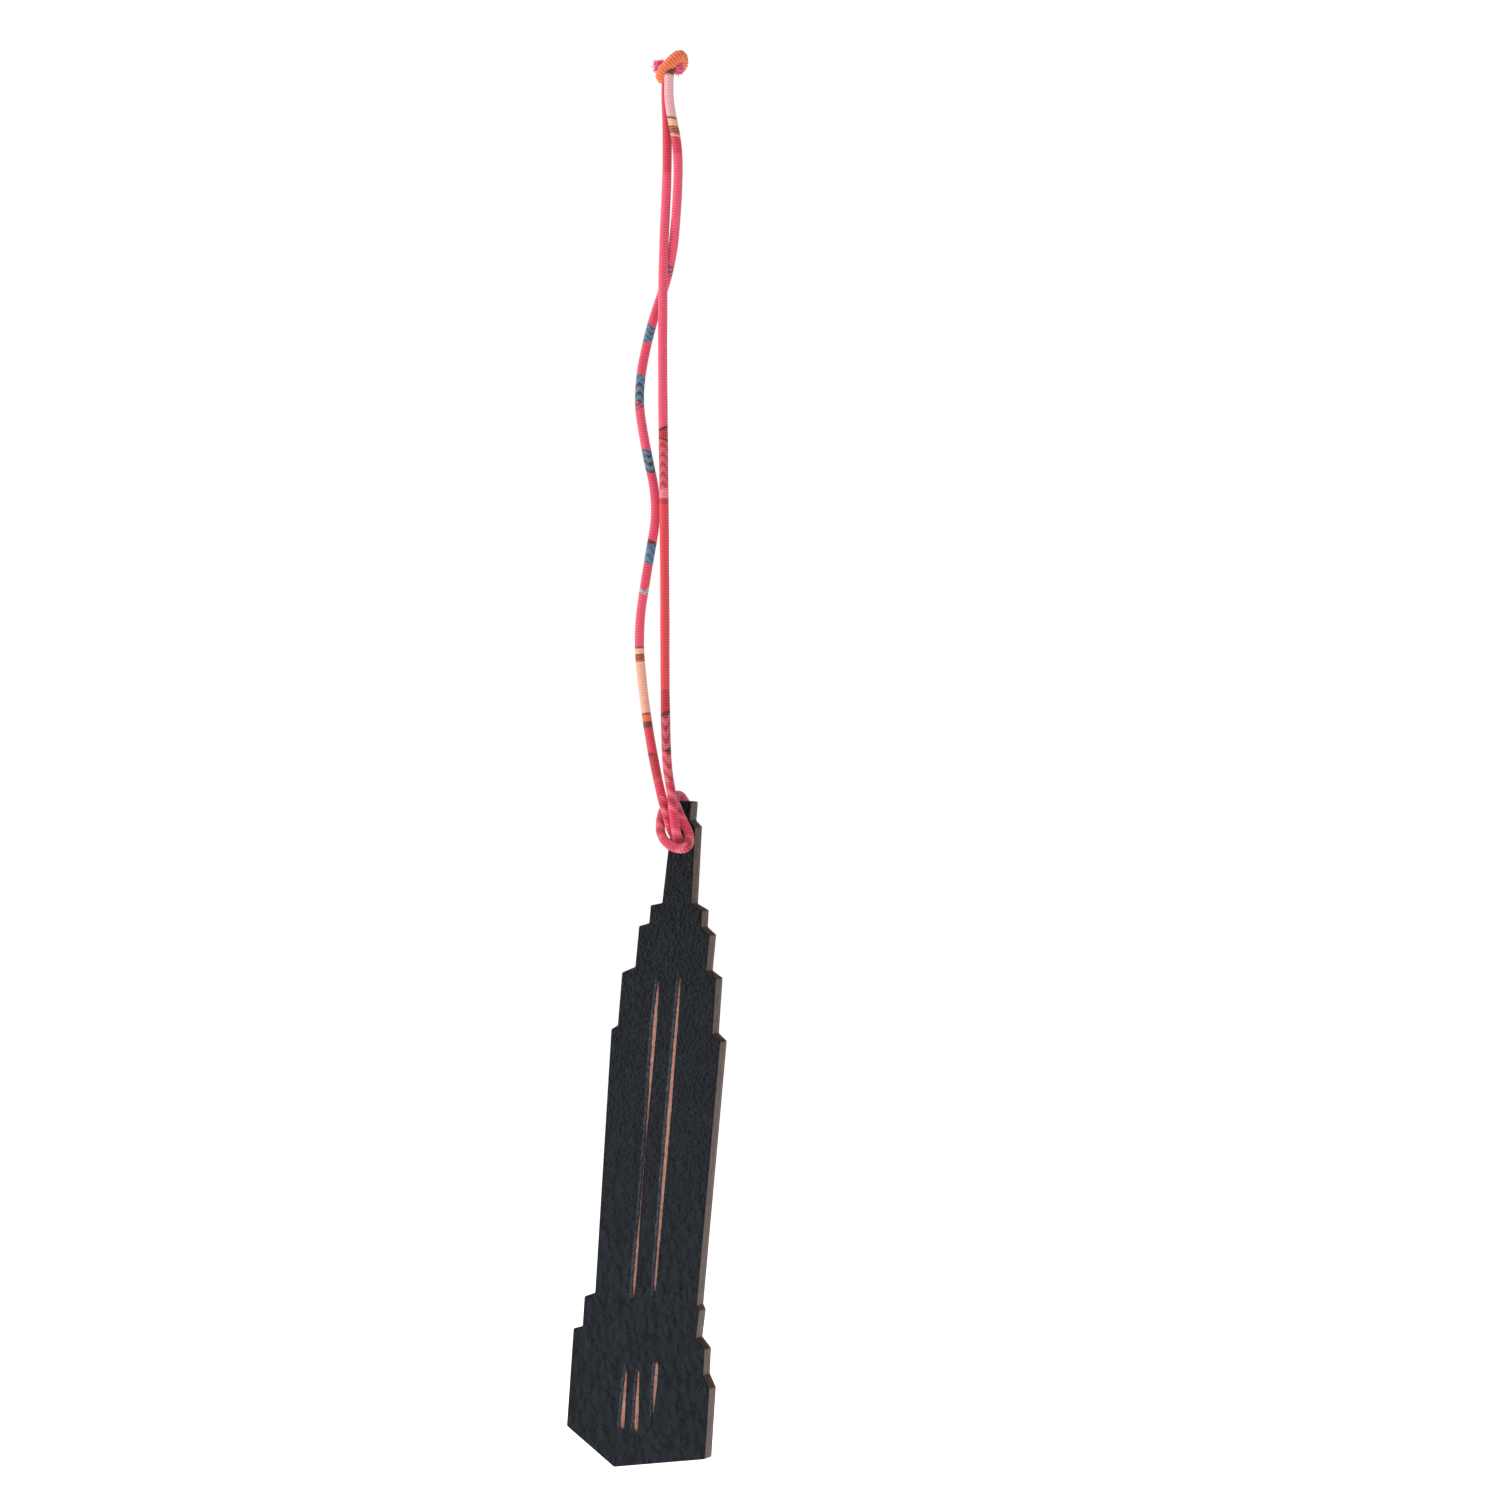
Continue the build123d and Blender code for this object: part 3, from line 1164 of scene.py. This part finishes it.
def smooth_path(points: Sequence[Vector]) -> np.ndarray:
    """Read the smooth line that a route's points control.

    Args:
        points: The route, in metres.

    Returns:
        The points of the smooth line.
    """
    curve = bpy.data.curves.new("route", "CURVE")
    curve.dimensions = "3D"
    curve.resolution_u = 24
    spline = curve.splines.new("NURBS")
    spline.points.add(len(points) - 1)
    for control, point in zip(spline.points, points):
        control.co = (*point, 1.0)
    spline.order_u = 3
    spline.use_endpoint_u = True
    holder = add_object("route", curve)
    bpy.context.view_layer.update()
    line = bpy.data.meshes.new_from_object(holder)
    path = np.array([v.co[:] for v in line.vertices])
    bpy.data.objects.remove(holder, do_unlink=True)
    bpy.data.curves.remove(curve)
    bpy.data.meshes.remove(line)
    return path


@dataclass
class HangingCord:
    """The one cord: down the left strand, through the hitch, and up the right."""

    charm: TowerCharm
    diameter: float = 1.9 * MM
    length: float = 0.366
    tucked_left: tuple[Point, ...] = ((0.9, 0.2, 2.7), (0.8, -0.8, 1.6))
    left: tuple[Point, ...] = (
        (0.8, -1.1, -0.2), (0.8, -1.1, -4.9), (2.9, -1.1, -13.7), (2.2, -0.2, -24.4),
        (0.2, 1.4, -36.6), (-4.1, 1.3, -47.2), (-6.8, 0.6, -60.8), (-4.8, 0.1, -71.2),
        (-1.9, 0.0, -83.0), (-4.1, -0.2, -94.7), (-6.2, -0.6, -108.0), (-4.2, -1.4, -122.0),
        (-2.2, -2.6, -130.3), (-0.6, -3.6, -135.6),
    )
    hitch: tuple[Point, ...] = (
        (-3.9, -4.5, 8.8), (-2.8, -3.9, 5.3), (-0.78, -3.8, 0.57), (-0.78, 3.7, 0.57),
        (-3.0, 3.1, 3.8), (-4.4, 2.2, 6.6), (-4.7, -1.2, 6.2), (-4.6, -2.4, 3.6),
        (-3.5, -4.3, 1.3), (-1.4, -5.6, -0.4), (0.8, -6.0, -1.1), (2.75, -4.8, -0.9),
        (2.3, -2.9, 1.5), (0.0, -3.0, 4.8), (-2.2, -3.1, 8.8), (-2.9, 3.0, 9.0),
        (-1.0, 3.9, 5.0), (0.78, 4.5, -0.57), (0.78, -5.0, -0.57), (-0.6, -5.4, 5.4),
        (-1.6, -5.1, 9.8),
    )
    right: tuple[Point, ...] = (
        (1.7, -3.8, -134.6), (1.0, -3.0, -128.4), (0.2, -1.6, -117.5), (-0.1, -1.0, -100.0),
        (-0.4, -0.8, -78.0), (-0.7, -0.8, -56.5), (-0.6, -0.8, -35.5), (-0.2, 0.3, -19.5),
        (-0.5, 1.1, -9.7), (-0.9, 1.1, -0.4),
    )
    tucked_right: tuple[Point, ...] = ((-0.4, 0.8, 1.6),)
    neck: float = -137.0
    edge_softness: float = 0.2

    def route(self) -> list[Vector]:
        """Every point of the route, in metres in the frame."""
        start = [Vector(p) * MM for p in (*self.tucked_left, *self.left)]
        middle = [self.charm.on_charm(*p) for p in self.hitch]
        end = [Vector(p) * MM for p in (*self.right, *self.tucked_right)]
        return [*start, *middle, *end]

    def print_at(
        self, far: np.ndarray, turn: np.ndarray, height: np.ndarray
    ) -> np.ndarray:
        """The printed colour of each point of the cord.

        Args:
            far: How far along the cord each point is.
            turn: The angle around it.
            height: The height in the frame.

        Returns:
            The colours.
        """
        level = height / MM
        half = far.max() / 2
        colours = np.zeros((*far.shape, 3))
        colours[:] = srgb(226, 54, 84)
        swirl = np.sin(far / MM * 2.1 + 1.7 * np.sin(turn)) * np.sin(far / MM * 0.37)
        colours[swirl > 0.45] = srgb(240, 108, 128)
        colours[swirl < -0.72] = srgb(170, 34, 52)
        for strand in Strand:
            own = (far < half) if strand is Strand.LEFT else (far > half)
            own &= level > self.neck
            hand = 1.0 if strand is Strand.LEFT else -1.0
            for stretch in PRINTS:
                if stretch.strand is not strand:
                    continue
                slant = stretch.edge.value * np.sin(turn) * hand
                inside = np.clip(0.5 + (stretch.top - level - slant) / self.edge_softness, 0, 1) * own
                shade = np.broadcast_to(np.array(stretch.colour), colours.shape)
                if stretch.second is not None:
                    wave = np.sin(
                        math.tau * (level - stretch.top) / stretch.pitch
                        + 2.2 * np.sin(turn * 2 + stretch.top)
                    )
                    share = np.clip(0.5 + 2.5 * (wave - 0.15), 0, 1)[..., None]
                    shade = shade + share * (np.array(stretch.second) - shade)
                colours += inside[..., None] * (shade - colours)
        return colours

    def build(self, knot: Sequence[Piece]) -> Piece:
        """Args:
            knot: The pieces of the knot on its ends. It is not used.

        Returns:
            The cord.
        """
        path = smooth_path(self.route())
        tube = TwillTube("printed_cord", path, self.diameter / 2)
        piece = tube.build(self.print_at)
        dress(piece, TwillCord().build())
        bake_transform(piece)
        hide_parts("cord_left_strand", "cord_right_strand", "cord_hitch")
        return piece


# ---- The knot --------------------------------------------------------------------------


@dataclass
class TopKnot:
    """The overhand knot that closes the loop, and the two frayed cord ends.

    Its points are to the right, up and towards the viewer, in millimetres, for a viewer
    who stands at the turn `facing` from the charm's front.
    """

    body: str = "knot"
    facing: float = math.radians(23.0)
    wrap_radius: float = 1.26
    wrap_line: tuple[Point, ...] = (
        (0.3, 1.1, -1.6), (-0.7, 0.6, -1.3), (-1.2, 0.7, -0.5), (-0.8, 1.6, 0.5),
        (0.3, 2.8, 1.0), (1.4, 4.0, 0.9), (2.5, 4.8, 0.2), (2.9, 4.0, -0.6), (2.7, 2.9, -1.2),
        (1.9, 2.3, -1.4), (1.0, 2.0, -1.1),
    )
    tucked_radius: float = 0.8
    tucked_line: tuple[Point, ...] = (
        (0.8, 3.3, -0.2), (1.5, 3.0, 0.3), (2.05, 2.5, 0.5), (2.2, 1.9, 0.2),
    )
    threads: int = 520

    def place(self, point: Point) -> Vector:
        """Put a point of the knot into the frame, in metres."""
        right, up, near = point
        x = right * math.cos(self.facing) + near * math.sin(self.facing)
        y = right * math.sin(self.facing) - near * math.cos(self.facing)
        return Vector((x, y, up)) * MM

    def wrap_colour(
        self, far: np.ndarray, turn: np.ndarray, height: np.ndarray
    ) -> np.ndarray:
        """Orange, a little deeper towards one end.

        Args:
            far: How far along the wrap each point is.
            turn: The angle around it. It is not used.
            height: The height in the frame. It is not used.

        Returns:
            The colours.
        """
        share = (far / far.max())[..., None]
        return (1 - share) * np.array(srgb(246, 112, 58)) + share * np.array(srgb(250, 128, 74))

    def tucked_colour(
        self, far: np.ndarray, turn: np.ndarray, height: np.ndarray
    ) -> np.ndarray:
        """One pink all over, with painted shade that darkens it in a few creases.

        Args:
            far: How far along the piece each point is.
            turn: The angle around it.
            height: The height in the frame. It is not used.

        Returns:
            The colours.
        """
        # Painted shade: bands of the pink darken where the creases are.
        crease = np.sin(far / MM * 6.0 + 3.0 * np.sin(turn * 2))[..., None]
        pink = np.array(srgb(240, 92, 120))
        return pink + np.clip(crease - 0.6, 0, 1) * (np.array(srgb(186, 40, 74)) - pink) * 2

    def wrap(self) -> Piece:
        """The turn of cord drawn round the two strands, its ends tucked inside."""
        tube = TwillTube(
            "knot_wrap", smooth_path([self.place(p) for p in self.wrap_line]),
            self.wrap_radius * MM, around=28, step=0.08 * MM, rib_rake=0.08,
            rib_pitch=0.5 * MM, rib_depth=0.065 * MM,
        )
        return tube.build(self.wrap_colour)

    def tucked_end(self) -> Piece:
        """The pink cord end that is drawn in under the wrap."""
        tube = TwillTube(
            "tucked_end", smooth_path([self.place(p) for p in self.tucked_line]),
            self.tucked_radius * MM, around=24, step=0.08 * MM, rib_depth=0.09 * MM,
        )
        return tube.build(self.tucked_colour)

    def tuft(
        self, name: str, start: Point, towards: Point, length: float, spread: float,
        width: float, seed: int,
    ) -> Piece:
        """A frayed cord end: many short bent threads fanned out from one place.

        Args:
            name: The piece's name.
            start: Where the threads leave the knot.
            towards: The direction in which they point.
            length: Their greatest length, in millimetres.
            spread: How far they fan out.
            width: How far from the start their roots are, in millimetres.
            seed: What makes this tuft its own.

        Returns:
            The tuft.
        """
        chance = random.Random(seed)
        pattern = single_fibre("thread_pattern", 0.1, 0.07)
        heading = self.place(towards).normalized()
        threads = []
        for _ in range(self.threads):
            loose = Vector([chance.gauss(0, spread) for _ in range(3)])
            offset = Vector([chance.gauss(0, width) for _ in range(3)]) * MM
            root = self.place(start) + offset
            reach = length * chance.uniform(0.6, 1.0)
            threads.append(
                place_fibre(pattern, root, heading + loose, reach, chance.uniform(0, math.tau))
            )
        bpy.data.objects.remove(pattern, do_unlink=True)
        piece = join(threads, name)
        make_active(piece)
        bpy.ops.object.shade_smooth()
        return piece

    def build(self) -> list[Piece]:
        """Build and dress the knot and the two frayed ends.

        Returns:
            The pieces.
        """
        wrap, tucked = self.wrap(), self.tucked_end()
        twill = TwillCord("knot_twill").build()
        dress(wrap, twill)
        dress(tucked, twill)
        fibre = LooseFibre("pink_thread", srgb(226, 78, 116), srgb(246, 128, 160)).build()
        left = self.tuft(
            "frayed_left", (-1.05, 2.75, -0.9), (-1.0, 0.12, -0.1), 0.8, 0.3, 0.5, 5
        )
        right = self.tuft(
            "frayed_right", (2.15, 2.1, 0.3), (0.3, -0.7, 0.35), 0.55, 0.4, 0.3, 9
        )
        dress(left, fibre)
        dress(right, fibre)
        for piece, node, slot in (
            (wrap, "top_knot", "knot_cord"),
            (tucked, "frayed_end_right", "frayed_fibre"),
            (left, "frayed_end_left", "frayed_fibre"),
            (right, "frayed_end_right", "frayed_fibre"),
        ):
            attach(piece, self.body)
            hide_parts(node)
        return [wrap, tucked, left, right]


# ---- The studio ------------------------------------------------------------------------


@dataclass
class Studio:
    """The pale floor, the soft lights and the camera."""

    azimuth: float = math.radians(23.0)
    distance: float = 0.9
    view_width: float = 292.4 * MM
    aim_right: float = 16.1 * MM
    aim_height: float = -130.6 * MM
    sensor: float = 36.0
    floor_below: float = 0.03

    def camera(self) -> Piece:
        """Place the camera level with the middle of the object, turned a little to +X."""
        right = Vector((math.cos(self.azimuth), math.sin(self.azimuth), 0))
        towards = Vector((-math.sin(self.azimuth), math.cos(self.azimuth), 0))
        aim = right * self.aim_right + Vector((0, 0, self.aim_height))
        data = bpy.data.cameras.new("camera")
        data.sensor_width = self.sensor
        data.lens = self.sensor * self.distance / self.view_width
        data.clip_start = 0.01
        camera = add_object("camera", data)
        camera.location = aim - towards * self.distance
        camera.rotation_euler = towards.to_track_quat("-Z", "Y").to_euler()
        bpy.context.scene.camera = camera
        return camera

    def light(self, name: str, place: Point, size: float, power: float) -> Piece:
        """A soft square light that faces the charm.

        Args:
            name: The light's name.
            place: Where it is, in metres.
            size: The length of its side, in metres.
            power: Its power, in watts.

        Returns:
            The light.
        """
        data = bpy.data.lights.new(name, "AREA")
        data.shape = "SQUARE"
        data.size = size
        data.energy = power
        lamp = add_object(name, data)
        lamp.location = place
        aim = Vector((0, 0, -0.15)) - Vector(place)
        lamp.rotation_euler = aim.to_track_quat("-Z", "Y").to_euler()
        return lamp

    def floor(self) -> Piece:
        """A wide pale floor under the charm."""
        deselect_all()
        low = CAD_BOX[0][2] - self.floor_below
        bpy.ops.mesh.primitive_plane_add(size=8.0, location=(0, 0, low))
        ground = bpy.context.object
        ground.name = "pale_floor"
        dress(ground, PalePaper().build())
        return ground

    def world(self) -> None:
        """White behind the object, and dimmer as a light on it."""
        world = bpy.data.worlds.new("studio")
        bpy.context.scene.world = world
        world.use_nodes = True
        tree = world.node_tree
        tree.nodes.clear()
        output = tree.nodes.new("ShaderNodeOutputWorld")
        mix = tree.nodes.new("ShaderNodeMixShader")
        seen = tree.nodes.new("ShaderNodeBackground")
        lit = tree.nodes.new("ShaderNodeBackground")
        ray = tree.nodes.new("ShaderNodeLightPath")
        seen.inputs["Color"].default_value = (1, 1, 1, 1)
        seen.inputs["Strength"].default_value = 1.0
        lit.inputs["Color"].default_value = (0.97, 0.985, 1.0, 1)
        lit.inputs["Strength"].default_value = 0.12
        tree.links.new(ray.outputs["Is Camera Ray"], mix.inputs[0])
        tree.links.new(lit.outputs[0], mix.inputs[1])
        tree.links.new(seen.outputs[0], mix.inputs[2])
        tree.links.new(mix.outputs[0], output.inputs["Surface"])

    def build(self) -> None:
        """Set up the whole studio."""
        self.camera()
        self.world()
        stage = [
            self.floor(),
            self.light("key_left", (-0.85, -0.35, 0.45), 0.35, 8.5),
            self.light("fill_front", (0.55, -0.95, 0.1), 0.6, 3.4),
            self.light("top", (0.0, -0.05, 0.75), 0.5, 3.0),
        ]
        bpy.context.scene.view_settings.view_transform = "Standard"


# ---- The whole scene -------------------------------------------------------------------


def report(pieces: Sequence[Piece]) -> None:
    """Log each piece with its number of faces."""
    for piece in pieces:
        log.info("%s: %d faces", piece.name, len(piece.data.polygons))


def main() -> None:
    """Build the studio, the knot, the cord and the charm."""
    logging.basicConfig(level=logging.INFO, format="%(name)s %(message)s")
    Studio().build()
    charm = TowerCharm()
    knot = TopKnot().build()
    cord = HangingCord(charm).build(knot)
    layers = charm.build()
    report([*knot, cord, *layers])


if __name__ == "__main__":
    main()
